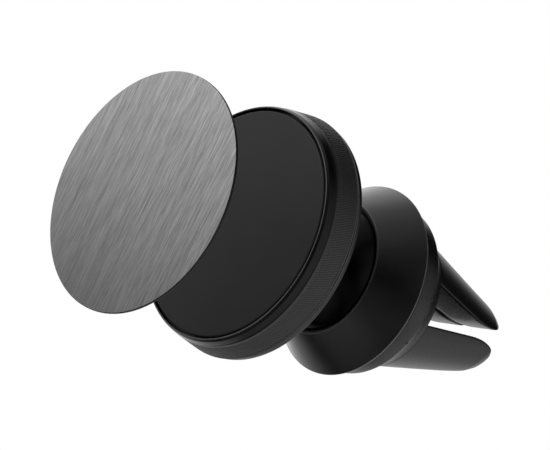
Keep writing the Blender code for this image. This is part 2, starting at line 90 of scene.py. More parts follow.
class Finish:
    """A node material built from the shader outwards. Positions inside it are in millimetres."""

    def __init__(self, name, colour, roughness, metallic=0.0, specular=0.5):
        self.material = bpy.data.materials.new(name)
        self.material.use_nodes = True
        self.tree = self.material.node_tree
        self.shader = self.tree.nodes["Principled BSDF"]
        self.shader.inputs["Base Color"].default_value = (*colour, 1.0)
        self.shader.inputs["Roughness"].default_value = roughness
        self.shader.inputs["Metallic"].default_value = metallic
        self.shader.inputs["Specular IOR Level"].default_value = specular
        self.material.diffuse_color = (*colour, 1.0)
        self.colour = colour
        self.place = self.node("ShaderNodeTexCoord").outputs["Object"]

    def node(self, kind, **settings):
        made = self.tree.nodes.new(kind)
        for key, value in settings.items():
            setattr(made, key, value)
        return made

    def link(self, source, target):
        self.tree.links.new(source, target)

    def position(self, turn=(0.0, 0.0, 0.0), stretch=(1.0, 1.0, 1.0)):
        """The place on the piece in mm, turned and then stretched along its own axes."""
        turned = self.node("ShaderNodeMapping", vector_type="POINT")
        turned.inputs["Rotation"].default_value = turn
        turned.inputs["Scale"].default_value = (1 / MM,) * 3
        self.link(self.place, turned.inputs["Vector"])
        scaled = self.node("ShaderNodeMapping", vector_type="POINT")
        scaled.inputs["Scale"].default_value = stretch
        self.link(turned.outputs["Vector"], scaled.inputs["Vector"])
        return scaled.outputs["Vector"]

    def noise(self, where, scale, detail=2.0, roughness=0.5):
        made = self.node("ShaderNodeTexNoise")
        made.inputs["Scale"].default_value = scale
        made.inputs["Detail"].default_value = detail
        made.inputs["Roughness"].default_value = roughness
        self.link(where, made.inputs["Vector"])
        return made.outputs["Fac"]

    def ranged(self, value, low, high, first=0.3, last=0.7):
        """Spreads a texture's middle values over a range."""
        made = self.node("ShaderNodeMapRange")
        for key, number in (
            ("From Min", first),
            ("From Max", last),
            ("To Min", low),
            ("To Max", high),
        ):
            made.inputs[key].default_value = number
        self.link(value, made.inputs["Value"])
        return made.outputs["Result"]

    def maths(self, operation, first, second):
        made = self.node("ShaderNodeMath", operation=operation)
        for socket, value in zip(made.inputs, (first, second)):
            if isinstance(value, (int, float)):
                socket.default_value = value
            else:
                self.link(value, socket)
        return made.outputs["Value"]

    def shade_colour(self, amount):
        """Multiplies the base colour by a texture."""
        made = self.node("ShaderNodeMix", data_type="RGBA", blend_type="MULTIPLY")
        made.inputs["Factor"].default_value = 1.0
        made.inputs["A"].default_value = (*self.colour, 1.0)
        self.link(amount, made.inputs["B"])
        self.link(made.outputs["Result"], self.shader.inputs["Base Color"])

    def roughen(self, value):
        self.link(value, self.shader.inputs["Roughness"])

    def bump(self, height, depth_mm, strength=1.0):
        made = self.node("ShaderNodeBump")
        made.inputs["Strength"].default_value = strength
        made.inputs["Distance"].default_value = depth_mm * MM
        self.link(height, made.inputs["Height"])
        self.link(made.outputs["Normal"], self.shader.inputs["Normal"])

    def radius_from_axis(self):
        """Distance from the Y axis in mm."""
        split = self.node("ShaderNodeSeparateXYZ")
        self.link(self.position(), split.inputs["Vector"])
        x, z = split.outputs["X"], split.outputs["Z"]
        squares = self.maths("ADD", self.maths("MULTIPLY", x, x), self.maths("MULTIPLY", z, z))
        return self.maths("SQRT", squares, 0.0), split.outputs["Y"]

    def along_profile(self, scale):
        """A vector that changes only across a turned piece's machining marks."""
        radius, y = self.radius_from_axis()
        joined = self.node("ShaderNodeCombineXYZ")
        self.link(self.maths("MULTIPLY", radius, scale), joined.inputs["X"])
        self.link(self.maths("MULTIPLY", y, scale), joined.inputs["Y"])
        return joined.outputs["Vector"]

    def turned_highlight(self, amount):
        """Stretches highlights across the machining marks of a piece turned about Y."""
        self.shader.inputs["Anisotropic"].default_value = amount
        tangent = self.node("ShaderNodeTangent", direction_type="RADIAL", axis="Y")
        self.link(tangent.outputs["Tangent"], self.shader.inputs["Tangent"])


BRUSH_TILT = math.radians(12.5)  # the plate's brush lines lean this far from Z towards X
BRUSH_LAYERS = (  # marks per mm across and along the lines, detail, roughness and share
    (2.6, 0.05, 3.0, 0.6, 0.14),
    (10.0, 0.16, 3.5, 0.7, 0.50),
    (17.0, 0.40, 2.0, 0.6, 0.36),
)


def brushed_steel():
    """Rolled and brushed plate: fine scratches of many lengths in one direction."""
    finish = Finish("brushed_steel", (0.58, 0.58, 0.58), 0.34, metallic=1.0)
    turn = (0.0, -BRUSH_TILT, 0.0)
    marks = 0.0
    for across, along, detail, roughness, share in BRUSH_LAYERS:
        layer = finish.noise(finish.position(turn, (across, 1.0, along)), 1.0, detail, roughness)
        marks = finish.maths("ADD", finish.maths("MULTIPLY", layer, share), marks)
    finish.shade_colour(finish.ranged(marks, 0.50, 1.36, 0.39, 0.61))
    finish.roughen(finish.ranged(marks, 0.40, 0.30, 0.38, 0.62))
    finish.bump(marks, 0.006)
    finish.shader.inputs["Anisotropic"].default_value = 0.75
    lines = finish.node("ShaderNodeCombineXYZ")
    lines.inputs["X"].default_value = math.sin(BRUSH_TILT)
    lines.inputs["Z"].default_value = math.cos(BRUSH_TILT)
    turned = finish.node(
        "ShaderNodeVectorTransform", vector_type="VECTOR", convert_from="OBJECT", convert_to="WORLD"
    )
    finish.link(lines.outputs["Vector"], turned.inputs["Vector"])
    finish.link(turned.outputs["Vector"], finish.shader.inputs["Tangent"])
    return finish.material


def soft_touch():
    """Rubberised coat with a very fine even grain."""
    finish = Finish("soft_touch", (0.026, 0.026, 0.027), 0.55)
    grain = finish.noise(finish.position(), 9.0, 3.0, 0.6)
    cloud = finish.noise(finish.position(), 0.16, 2.0)
    finish.shade_colour(finish.ranged(cloud, 0.93, 1.07))
    finish.roughen(finish.ranged(grain, 0.50, 0.62))
    finish.bump(grain, 0.010, 0.6)
    finish.shader.inputs["Sheen Weight"].default_value = 0.06
    finish.shader.inputs["Sheen Roughness"].default_value = 0.4
    return finish.material


def turned_anodised(name, colour, roughness, highlight, depth_mm, specular=0.5):
    """Black anodised aluminium with faint circular machining marks."""
    finish = Finish(name, colour, roughness, specular=specular)
    marks = finish.noise(finish.along_profile(7.0), 1.0, 3.0, 0.65)
    wear = finish.noise(finish.position(), 0.35, 3.0)
    finish.shade_colour(finish.ranged(wear, 0.85, 1.15))
    finish.roughen(finish.ranged(marks, roughness - 0.05, roughness + 0.06))
    finish.bump(marks, depth_mm)
    finish.turned_highlight(highlight)
    return finish.material


def gloss_plastic():
    """Polished moulding: almost black, with faint handling marks in its gloss."""
    finish = Finish("gloss_plastic", (0.0010, 0.0010, 0.0011), 0.10, specular=0.16)
    smears = finish.noise(finish.position(stretch=(1.0, 0.5, 1.0)), 0.5, 4.0, 0.6)
    finish.roughen(finish.ranged(smears, 0.07, 0.14))
    finish.bump(smears, 0.003, 0.5)
    return finish.material


def moulded_plastic(name, colour, roughness, grain_mm=0.12, depth_mm=0.006, specular=0.5):
    """Injection-moulded plastic with a fine spark-eroded grain."""
    finish = Finish(name, colour, roughness, specular=specular)
    grain = finish.noise(finish.position(), 1.0 / grain_mm, 2.0)
    cloud = finish.noise(finish.position(), 0.25, 2.0)
    finish.shade_colour(finish.ranged(cloud, 0.88, 1.12))
    finish.roughen(finish.ranged(grain, roughness - 0.05, roughness + 0.07))
    finish.bump(grain, depth_mm, 0.7)
    return finish.material


def plated_metal(name, colour, roughness):
    """Plated small part: a clean metal with light scuffs."""
    finish = Finish(name, colour, roughness, metallic=1.0)
    scuffs = finish.noise(finish.position(stretch=(1.0, 0.4, 1.6)), 2.5, 4.0, 0.65)
    finish.shade_colour(finish.ranged(scuffs, 0.85, 1.05))
    finish.roughen(finish.ranged(scuffs, roughness - 0.06, roughness + 0.12))
    finish.bump(scuffs, 0.004, 0.5)
    return finish.material


def make_materials():
    return {
        "steel": brushed_steel(),
        # the plate's rim faces are drawn in a near-black metal
        "dark_rim": plated_metal("near_black_plate_rim", (0.035, 0.035, 0.036), 0.45),
        "pad": soft_touch(),
        "bezel": turned_anodised(
            "anodised_bezel", (0.004, 0.004, 0.0041), 0.20, highlight=0.40, depth_mm=0.002, specular=0.3
        ),
        "knurl": moulded_plastic(
            "anodised_knurl", (0.024, 0.024, 0.0243), 0.22, grain_mm=0.1, depth_mm=0.002
        ),
        "collar": turned_anodised(
            "anodised_collar", (0.010, 0.010, 0.0102), 0.22, highlight=0.60, depth_mm=0.003
        ),
        # edge: a lighter colour painted on narrow edge bands as painted highlights, where rounded edges
        # catch the light
        "edge": turned_anodised(
            "painted_edge_highlight", (0.075, 0.075, 0.076), 0.24, highlight=0.30, depth_mm=0.001, specular=0.9
        ),
        "ball": gloss_plastic(),
        "clip": moulded_plastic("clip_plastic", (0.008, 0.008, 0.0081), 0.26),
        "sleeve": moulded_plastic("sleeve_rubber", (0.006, 0.006, 0.0061), 0.27, specular=0.34),
        "cover": moulded_plastic("cover_plastic", (0.010, 0.010, 0.0102), 0.27),
        "rubber": moulded_plastic(
            "black_rubber", (0.010, 0.010, 0.010), 0.62, grain_mm=0.2, depth_mm=0.012
        ),
        "white": moulded_plastic("natural_nylon", (0.60, 0.60, 0.57), 0.48, grain_mm=0.2),
        "core": moulded_plastic("core_plastic", (0.020, 0.020, 0.020), 0.5),
        "nickel": plated_metal("nickel_plating", (0.58, 0.56, 0.52), 0.18),
        "zinc": plated_metal("zinc_plating", (0.48, 0.48, 0.50), 0.30),
    }


# Shapes -------------------------------------------------------------------------------------


def rounded(corners, steps=5):
    """A closed outline of (radius, y) points whose corners (radius, y, rounding) become arcs."""
    outline = []
    for i, (across, y, rounding) in enumerate(corners):
        here = Vector((across, y))
        if rounding == 0:
            outline.append(here)
            continue
        before = Vector(corners[i - 1][:2]) - here
        after = Vector(corners[(i + 1) % len(corners)][:2]) - here
        half = before.angle(after) / 2
        reach = min(rounding / math.tan(half), 0.49 * before.length, 0.49 * after.length)
        start = here + before.normalized() * reach
        middle = (before.normalized() + after.normalized()).normalized()
        centre = here + middle * (reach / math.cos(half))
        spoke = start - centre
        turn = spoke.angle_signed(here + after.normalized() * reach - centre)
        for k in range(steps + 1):
            outline.append(centre + Matrix.Rotation(-turn * k / steps, 2) @ spoke)
    return [(max(p.x, 0.0), p.y) for p in outline]


def lathe(profile, steps=FINE, relief=None):
    """Vertices and faces of a closed profile turned about Y.

    relief(angle, row), where given, is added to the radius.
    """
    vertices, rows = [], []
    for row, (radius, y) in enumerate(profile):
        if radius < 1e-7:
            rows.append([len(vertices)] * steps)
            vertices.append((0.0, y, 0.0))
            continue
        rows.append(list(range(len(vertices), len(vertices) + steps)))
        for i in range(steps):
            angle = math.tau * i / steps
            reach = radius + (relief(angle, row) if relief else 0.0)
            vertices.append((reach * math.cos(angle), y, reach * math.sin(angle)))
    faces = []
    for row, below in enumerate(rows):
        above = rows[(row + 1) % len(rows)]
        for i in range(steps):
            j = (i + 1) % steps
            face = list(dict.fromkeys((below[i], below[j], above[j], above[i])))
            if len(face) > 2:
                faces.append(face)
    return vertices, faces


def piece_from(name, vertices, faces, material, smooth_degrees=40):
    mesh = bpy.data.meshes.new(name)
    mesh.from_pydata(vertices, [], faces)
    bm = bmesh.new()
    bm.from_mesh(mesh)
    bmesh.ops.recalc_face_normals(bm, faces=bm.faces)
    bm.to_mesh(mesh)
    bm.free()
    mesh.materials.append(material)
    mesh.shade_smooth()
    mesh.set_sharp_from_angle(angle=math.radians(smooth_degrees))
    made = bpy.data.objects.new(name, mesh)
    bpy.context.scene.collection.objects.link(made)
    return made


def turned(name, profile, material, steps=FINE, relief=None):
    return piece_from(name, *lathe(profile, steps, relief), material)


def object_from(bm, name):
    """Puts a finished bmesh into the scene as an object."""
    mesh = bpy.data.meshes.new(name)
    bm.to_mesh(mesh)
    bm.free()
    made = bpy.data.objects.new(name, mesh)
    bpy.context.scene.collection.objects.link(made)
    return made


def from_axis(face):
    return math.hypot(face.center.x, face.center.z)


def repaint(piece, material, chosen):
    """Gives a further material to the faces for which chosen(face) is true."""
    index = len(piece.data.materials)
    piece.data.materials.append(material)
    for face in piece.data.polygons:
        if chosen(face):
            face.material_index = index


def stand_in_for(piece, body, slot, *nodes):
    """The piece rides on a body and replaces its CAD nodes. The slot is not used."""
    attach(piece, body)
    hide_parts(*nodes)


# Camera and studio --------------------------------------------------------------------------

LENS = 523.6  # mm: a long lens, so the picture is almost parallel
CAMERA_DISTANCE = 1.2486
AXIS_TILT = math.radians(49.12)  # between the object's axis and the line of sight
AXIS_SWING = math.radians(26.08)  # how far the axis falls below the picture's horizontal
AXIS_ROLL = math.radians(12.5)  # of the crossed slots about the axis
FACE_IN_VIEW = Vector((-0.00619, 0.00033, -CAMERA_DISTANCE))  # the pad's centre: right, up, back


def view_axes():
    """The world's X, Y and Z as the camera sees them: right, up, back."""
    tilt_side = math.sin(AXIS_TILT)
    axis = Vector(
        (
            tilt_side * math.cos(AXIS_SWING),
            -tilt_side * math.sin(AXIS_SWING),
            -math.cos(AXIS_TILT),
        )
    )
    first = Vector((math.sin(AXIS_SWING), math.cos(AXIS_SWING), 0.0))
    second = axis.cross(first)
    x = math.sin(AXIS_ROLL) * first + math.cos(AXIS_ROLL) * second
    z = math.cos(AXIS_ROLL) * first - math.sin(AXIS_ROLL) * second
    return Matrix((x, axis, z)).transposed()


def make_camera():
    turn = view_axes().transposed()
    face_centre = Vector((0.0, HEAD_FRONT, 0.0))
    data = bpy.data.cameras.new("camera")
    data.lens = LENS
    data.sensor_width = 36.0
    data.clip_start, data.clip_end = 0.05, 20.0
    camera = bpy.data.objects.new("camera", data)
    camera.matrix_world = Matrix.Translation(face_centre - turn @ FACE_IN_VIEW) @ turn.to_4x4()
    bpy.context.scene.collection.objects.link(camera)
    bpy.context.scene.camera = camera
    return turn


# Soft studio panels: direction as the camera sees it (right, up, back) and brightness
PANELS = (
    ((0.6, -0.8, 0.0), 0.60),  # low on the right, along the collar and the band
    ((-0.6, 0.8, 0.0), 0.54),  # high on the left, which the plate reflects
    ((-0.3, 0.9, -0.4), 0.44),
    ((0.0, 1.0, 0.0), 0.34),
    ((-0.3, 0.8, 0.5), 0.26),
    ((0.3, 0.9, 0.4), 0.14),
    ((-0.7, -0.5, 0.4), 0.38),
    ((0.9, 0.0, 0.4), 0.38),
    ((0.3, -0.8, -0.5), 0.36),
    ((0.0, 0.0, -1.0), 0.24),  # the backdrop, which the edges reflect
    ((-0.5, 0.0, -0.9), 0.23),
    ((-0.4, -0.3, 0.9), 0.21),  # the camera's side
    ((-0.2, 0.5, -0.9), 0.9),  # behind on the left, which fades the collar's far side to white
    ((-0.2, -0.5, -0.9), 0.45),  # behind and below, along the prongs' lower edges
    ((0.7, -0.5, 0.5), 0.17),
    ((1.0, -0.3, 0.0), 0.10),
)
PANEL_SPREAD = math.radians(48)


def make_world(turn):
    """Dark surroundings with soft bright panels. The camera itself sees a white backdrop."""
    world = bpy.data.worlds.new("studio")
    world.use_nodes = True
    bpy.context.scene.world = world
    nodes, links = world.node_tree.nodes, world.node_tree.links
    nodes.clear()
    direction = nodes.new("ShaderNodeTexCoord").outputs["Generated"]
    total = None
    for towards, brightness in PANELS:
        facing = nodes.new("ShaderNodeVectorMath")
        facing.operation = "DOT_PRODUCT"
        facing.inputs[1].default_value = turn @ Vector(towards).normalized()
        links.new(direction, facing.inputs[0])
        level = nodes.new("ShaderNodeMapRange")
        level.interpolation_type = "SMOOTHSTEP"
        level.inputs["From Min"].default_value = math.cos(PANEL_SPREAD)
        level.inputs["To Max"].default_value = brightness
        links.new(facing.outputs["Value"], level.inputs["Value"])
        if total is None:
            total = level.outputs["Result"]
            continue
        added = nodes.new("ShaderNodeMath")
        links.new(total, added.inputs[0])
        links.new(level.outputs["Result"], added.inputs[1])
        total = added.outputs["Value"]
    lit = nodes.new("ShaderNodeBackground")
    lit.inputs["Color"].default_value = (1.0, 1.0, 1.0, 1.0)
    links.new(total, lit.inputs["Strength"])
    seen = nodes.new("ShaderNodeBackground")
    seen.inputs["Color"].default_value = (1.0, 1.0, 1.0, 1.0)
    path = nodes.new("ShaderNodeLightPath")
    mix = nodes.new("ShaderNodeMixShader")
    links.new(path.outputs["Is Camera Ray"], mix.inputs["Fac"])
    links.new(lit.outputs["Background"], mix.inputs[1])
    links.new(seen.outputs["Background"], mix.inputs[2])
    output = nodes.new("ShaderNodeOutputWorld")
    links.new(mix.outputs["Shader"], output.inputs["Surface"])


FLOOR_DROP = 0.26  # the object is shown in the air, high over the floor
FLOOR_HALF = 2.5


def make_floor():
    """A wide pale floor with a softly mottled paint."""
    finish = Finish("studio_floor", (0.86, 0.86, 0.86), 0.8)
    mottle = finish.noise(finish.position(), 0.004, 3.0)
    finish.shade_colour(finish.ranged(mottle, 0.98, 1.0))
    half = FLOOR_HALF
    corners = [(-half, -half, 0), (half, -half, 0), (half, half, 0), (-half, half, 0)]
    floor = piece_from("floor", corners, [(0, 1, 2, 3)], finish.material)
    floor.location.z = -FLOOR_DROP
    floor.visible_glossy = False


def make_studio():
    turn = make_camera()
    make_world(turn)
    make_floor()
    bpy.context.scene.view_settings.view_transform = "Standard"


# Head ---------------------------------------------------------------------------------------

PLATE_ROUNDING = 0.10 * MM


def make_plate(materials):
    low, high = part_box("steel_plate")
    radius = (high[0] - low[0]) / 2
    corners = [
        (0.0, low[1], 0),
        (radius, low[1], PLATE_ROUNDING),
        (radius, high[1], PLATE_ROUNDING),
        (0.0, high[1], 0),
    ]
    plate = turned("plate", rounded(corners, 3), materials["steel"], 256)
    # the rim faces get the near-black rim colour
    repaint(plate, materials["dark_rim"], lambda face: abs(face.normal.y) < 0.9)
    plate.location = ((low[0] + high[0]) / 2, 0.0, (low[2] + high[2]) / 2)
    stand_in_for(plate, "plate", "plate_steel", "steel_plate")


def make_pad(materials):
    radius = radius_of("face_pad")
    corners = [
        (0.0, HEAD_FRONT, 0),
        (radius, HEAD_FRONT, 0.2 * MM),
        (radius, rear_of("face_pad"), 0),
        (0.0, rear_of("face_pad"), 0),
    ]
    pad = turned("soft_pad", rounded(corners), materials["pad"])
    stand_in_for(pad, "head", "pad", "face_pad")


KNURL_TEETH = 300
KNURL_DEPTH = 0.10 * MM
KNURL_ROWS = 24
KNURL_STEPS = 6  # round the ring, for each tooth
KNURL_FADE_ROWS = 2
KNURL_LEAN = 1.15 / MM  # teeth by which a groove moves round the band for each metre along it
KNURL_STEEPNESS = 1.6  # of the grooves' flanks, where 1 would leave no flat tops
BAND_SET_BACK = 1.8 * MM  # of the band's front edge behind the pad's face
BAND_FLARE = 0.59 * MM  # by which the band's rear radius is larger than its front one
BAND_RIM = 0.18 * MM
BEZEL_BORE = 18.2 * MM
BEZEL_LEDGE = 1.2 * MM  # of the pad's seat behind its face
LIP_GROOVE = 0.45 * MM  # between the pad and the lip
LIP_WIDTH = 0.2 * MM
SHOULDER_START = 0.45 * MM  # outside the lip's inner edge, and as far behind it
# depth of the lip's band that is painted lighter as a painted highlight
LIP_HIGHLIGHT_WIDTH = 0.12 * MM


def knurl_height(angle, along):
    """Diamonds between two crossing sets of grooves, by angle and distance along the band."""
    lean = along * KNURL_LEAN
    first = (angle * KNURL_TEETH / math.tau + lean) % 1.0
    second = (angle * KNURL_TEETH / math.tau - lean) % 1.0
    ridge = min(1 - abs(2 * first - 1), 1 - abs(2 * second - 1))
    return -KNURL_DEPTH * (1 - min(ridge * KNURL_STEEPNESS, 1.0))


def make_bezel(materials):
    """Thin lip, smooth shoulder and a diamond-knurled grip band between two plain rims."""
    rear_radius = radius_of("bezel_ring")
    front_radius = rear_radius - BAND_FLARE
    lip_radius = radius_of("face_pad") + LIP_GROOVE
    band_front = HEAD_FRONT + BAND_SET_BACK
    ledge = HEAD_FRONT + BEZEL_LEDGE
    front_corners = [
        (BEZEL_BORE, BAND_REAR, 0),
        (BEZEL_BORE, ledge, 0),
        (lip_radius, ledge, 0),
        (lip_radius, HEAD_FRONT, 0.05 * MM),
        (lip_radius + LIP_WIDTH, HEAD_FRONT, 0.08 * MM),
        (lip_radius + SHOULDER_START, HEAD_FRONT + SHOULDER_START, 0.3 * MM),
        (front_radius - 0.1 * MM, band_front - 0.25 * MM, 0.2 * MM),
    ]
    front_profile = rounded(front_corners + [(front_radius, band_front, 0)], 4)
    band_rear = BAND_REAR - BAND_RIM
    length = band_rear - band_front
    slope = (rear_radius - front_radius) / length
    rows = [band_front + length * i / KNURL_ROWS for i in range(KNURL_ROWS + 1)]
    band = [(front_radius + slope * (y - band_front), y) for y in rows]
    tail = [(rear_radius, BAND_REAR - 0.08 * MM), (rear_radius - 0.1 * MM, BAND_REAR)]
    profile = front_profile + band[1:] + tail
    first_row = len(front_profile)

    def relief(angle, row):
        along = row - first_row
        if not 0 <= along < KNURL_ROWS:
            return 0.0
        near_edge = min(along + 1, KNURL_ROWS - along) / KNURL_FADE_ROWS
        return knurl_height(angle, rows[along + 1] - band_front) * min(near_edge, 1.0)

    ring = turned("knurled_bezel", profile, materials["bezel"], KNURL_TEETH * KNURL_STEPS, relief)

    def on_band(face):
        return band_front < face.center.y < band_rear and from_axis(face) > lip_radius

    def on_edge(face):
        y = face.center.y
        return y < HEAD_FRONT + LIP_HIGHLIGHT_WIDTH or band_rear < y < BAND_REAR - 0.01 * MM

    repaint(ring, materials["knurl"], on_band)
    # the lip and the band's rear rim are painted lighter as painted highlights
    repaint(ring, materials["edge"], on_edge)
    stand_in_for(ring, "head", "bezel", "bezel_ring")


COVER_SCREW_RING = 14.2 * MM  # radius on which the cover's screws sit
COVER_SCREW_PLACES = [
    (COVER_SCREW_RING * math.cos(math.radians(a)), COVER_SCREW_RING * math.sin(math.radians(a)))
    for a in (45, 135, 225, 315)
]
COVER_SPIGOT = 17.8 * MM  # radius of the part that goes into the bezel
COVER_RIM = 0.9 * MM  # length of the straight rim behind the front edge
DOME = (  # radius, place on the axis and rounding of the cover's back, from its rim to the rib
    (16.5 * MM, -27.9 * MM, 3.0 * MM),
    (12.5 * MM, -27.1 * MM, 3.0 * MM),
    (9.0 * MM, -26.5 * MM, 0.5 * MM),
)
RIB = 8.2 * MM  # radius of the raised rib round the neck
# depth of the cover's front edge that is painted lighter as a painted highlight
COVER_HIGHLIGHT_WIDTH = 0.24 * MM
COVER_SCREW_SEAT = -28.9 * MM
COUNTERBORE = 2.2 * MM
STEM_BORE = 2.3 * MM


def round_cutter(name, places, radius, first_y, last_y, sides=48):
    """Straight cylinders along Y in one mesh, for carving."""
    bm = bmesh.new()
    for x, z in places:
        middle = Matrix.Translation((x, (first_y + last_y) / 2, z))
        bmesh.ops.create_cone(
            bm,
            cap_ends=True,
            segments=sides,
            radius1=radius,
            radius2=radius,
            depth=last_y - first_y,
            matrix=middle @ Matrix.Rotation(math.radians(90), 4, "X"),
        )
    return object_from(bm, name)


def block_cutter(name, size, middle):
    bm = bmesh.new()
    bmesh.ops.create_cube(bm, size=1.0)
    bmesh.ops.scale(bm, vec=size, verts=bm.verts)
    bmesh.ops.translate(bm, vec=middle, verts=bm.verts)
    return object_from(bm, name)


def carve(piece, cutter):
    """Cuts one mesh out of another, and removes the cutter."""
    modifier = piece.modifiers.new("cut", "BOOLEAN")
    modifier.operation = "DIFFERENCE"
    modifier.object = cutter
    bpy.context.view_layer.update()
    depsgraph = bpy.context.evaluated_depsgraph_get()
    result = bpy.data.meshes.new_from_object(piece.evaluated_get(depsgraph))
    piece.modifiers.clear()
    piece.data = result
    bpy.data.objects.remove(cutter, do_unlink=True)
    result.shade_smooth()
    result.set_sharp_from_angle(angle=math.radians(40))


def make_cover(materials):
    """Domed back of the head with four counterbores and a raised rib round the neck."""
    radius = radius_of("rear_cover")
    front = BAND_REAR + GAP
    rear = rear_of("rear_cover")
    spigot_front = front_of("rear_cover")
    corners = [
        (STEM_BORE, spigot_front, 0),
        (COVER_SPIGOT, spigot_front, 0),
        (COVER_SPIGOT, front, 0),
        (radius, front, 0.22 * MM),
        (radius, front + COVER_RIM, 0.35 * MM),
        *DOME,
        (RIB, rear, 0.25 * MM),
        (STEM_BORE, rear, 0),
    ]
    cover = turned("head_cover", rounded(corners, 6), materials["cover"])

    def on_edge(face):
        near_front = front < face.center.y < front + COVER_HIGHLIGHT_WIDTH
        return near_front and from_axis(face) > COVER_SPIGOT + 0.2 * MM

    # the front edge is painted lighter as a painted highlight
    repaint(cover, materials["edge"], on_edge)
    places = COVER_SCREW_PLACES
    carve(cover, round_cutter("counterbores", places, COUNTERBORE, COVER_SCREW_SEAT, rear))
    stand_in_for(cover, "head", "cover", "rear_cover")


SCREW_POINT = 0.6 * MM  # radii of the shank's end, the shank, and the head's flat top and rim
SCREW_SHANK = 1.0 * MM
SCREW_TOP = 1.1 * MM
SCREW_HEAD = 1.9 * MM
SCREW_HEAD_LENGTH = 1.0 * MM
RECESS_LENGTH = 2.3 * MM
RECESS_WIDTH = 0.45 * MM
RECESS_BLOCK = 1.4 * MM  # twice the recess's depth, as the block is centred on the head's top


def make_cover_screws(materials):
    """Pan heads with a cross recess."""
    for index, (x, z) in enumerate(COVER_SCREW_PLACES, 1):
        node = f"cover_screw_{index}"
        low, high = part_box(node)
        seat = high[1] - SCREW_HEAD_LENGTH
        corners = [
            (0.0, low[1], 0),
            (SCREW_POINT, low[1], 0),
            (SCREW_SHANK, low[1] + 0.5 * MM, 0),
            (SCREW_SHANK, seat, 0),
            (SCREW_HEAD, seat, 0.1 * MM),
            (SCREW_HEAD, seat + 0.6 * MM, 0.4 * MM),
            (SCREW_TOP, high[1], 0.5 * MM),
            (0.0, high[1], 0),
        ]
        screw = turned(f"cross_screw_{index}", rounded(corners, 4), materials["zinc"], 48)
        top = (0.0, high[1], 0.0)
        for across, up in ((RECESS_LENGTH, RECESS_WIDTH), (RECESS_WIDTH, RECESS_LENGTH)):
            carve(screw, block_cutter("recess", (across, RECESS_BLOCK, up), top))
        screw.data.materials.clear()
        screw.data.materials.append(materials["zinc"])
        screw.location = (x, 0.0, z)
        stand_in_for(screw, "head", "zinc_steel", node)


# Ball, collar and clip ----------------------------------------------------------------------


def sphere_arc(radius, first_y, last_y, steps=48):
    """Points (radius, y) of the ball's outline between two places on the axis."""
    first = math.acos((BALL_CENTRE - first_y) / radius)
    last = math.acos((BALL_CENTRE - last_y) / radius)
    angles = [first + (last - first) * i / steps for i in range(steps + 1)]
    return [(radius * math.sin(a), BALL_CENTRE - radius * math.cos(a)) for a in angles]


def make_ball(materials):
    """Ball with its neck and flange, bored for the screw that goes in from its flat back."""
    front, rear = front_of("ball_stem"), rear_of("ball_stem")
    neck = 5.0 * MM
    flange = 6.2 * MM
    recess = 4.2 * MM
    seat = -7.5 * MM
    meets_neck = BALL_CENTRE - math.sqrt(BALL_RADIUS**2 - (neck + 0.5 * MM) ** 2)
    flange_part = rounded(
        [
            (STEM_BORE, front, 0),
            (flange, front, 0.15 * MM),
            (flange, front + 0.9 * MM, 0.2 * MM),
            (neck, front + 1.5 * MM, 0.5 * MM),
        ],
        4,
    )
    profile = flange_part + sphere_arc(BALL_RADIUS, meets_neck, rear)
    profile += [(recess, rear), (recess, seat), (STEM_BORE, seat)]
    ball = turned("ball", profile, materials["ball"])
    stand_in_for(ball, "ball", "ball", "ball_stem")


COLLAR_LIP_WIDTH = 0.40 * MM
COLLAR_EDGE_LENGTH = 0.40 * MM  # of the step at the cone's rear edge
SOCKET_CLEARANCE = 0.12 * MM


def make_collar(materials):
    """Turned cone with a narrow lip and a fine rear edge, both painted lighter as painted highlights,
    and its threaded skirt.
    """
    lip = 11.25 * MM
    rear_radius = radius_of("locking_collar")
    rear = front_of("collar_gasket") - GAP
    skirt_rear = rear_of("locking_collar")
    skirt_outer, skirt_inner = 12.6 * MM, 11.6 * MM
    chamber = 12.3 * MM  # radius of the space for the grip ring
    chamber_front = -13.3 * MM
    corners = [
        (lip - COLLAR_LIP_WIDTH, COLLAR_FRONT, 0.06 * MM),
        (lip, COLLAR_FRONT, 0.12 * MM),
        (rear_radius, rear - COLLAR_EDGE_LENGTH, 0.22 * MM),
        (rear_radius - 0.3 * MM, rear, 0.06 * MM),
        (skirt_outer, rear, 0),
        (skirt_outer, skirt_rear, 0.1 * MM),
        (skirt_inner, skirt_rear, 0.1 * MM),
        (skirt_inner, rear, 0),
        (chamber, rear, 0),
        (chamber, chamber_front, 0),
    ]
    socket_radius = BALL_RADIUS + SOCKET_CLEARANCE
    socket = sphere_arc(socket_radius, COLLAR_FRONT + 0.1 * MM, chamber_front, 8)
    profile = rounded(corners, 4) + socket[::-1]
    collar = turned("turned_collar", profile, materials["collar"])

    def on_edge(face):
        on_lip = face.center.y < COLLAR_FRONT + 0.10 * MM and from_axis(face) > lip - 0.30 * MM
        return on_lip or from_axis(face) > rear_radius - 0.11 * MM

    # the lip and the rear edge are painted lighter as painted highlights
    repaint(collar, materials["edge"], on_edge)
    stand_in_for(collar, "collar", "collar", "locking_collar")


def make_gasket(materials):
    low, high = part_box("collar_gasket")
    outer = radius_of("collar_gasket")
    inner = 12.9 * MM
    corners = [
        (inner, low[1], 0),
        (outer, low[1], 0.12 * MM),
        (outer, high[1], 0.12 * MM),
        (inner, high[1], 0),
    ]
    gasket = turned("gasket", rounded(corners, 4), materials["rubber"])
    stand_in_for(gasket, "collar_travel", "rubber", "collar_gasket")


# Clip ---------------------------------------------------------------------------------------

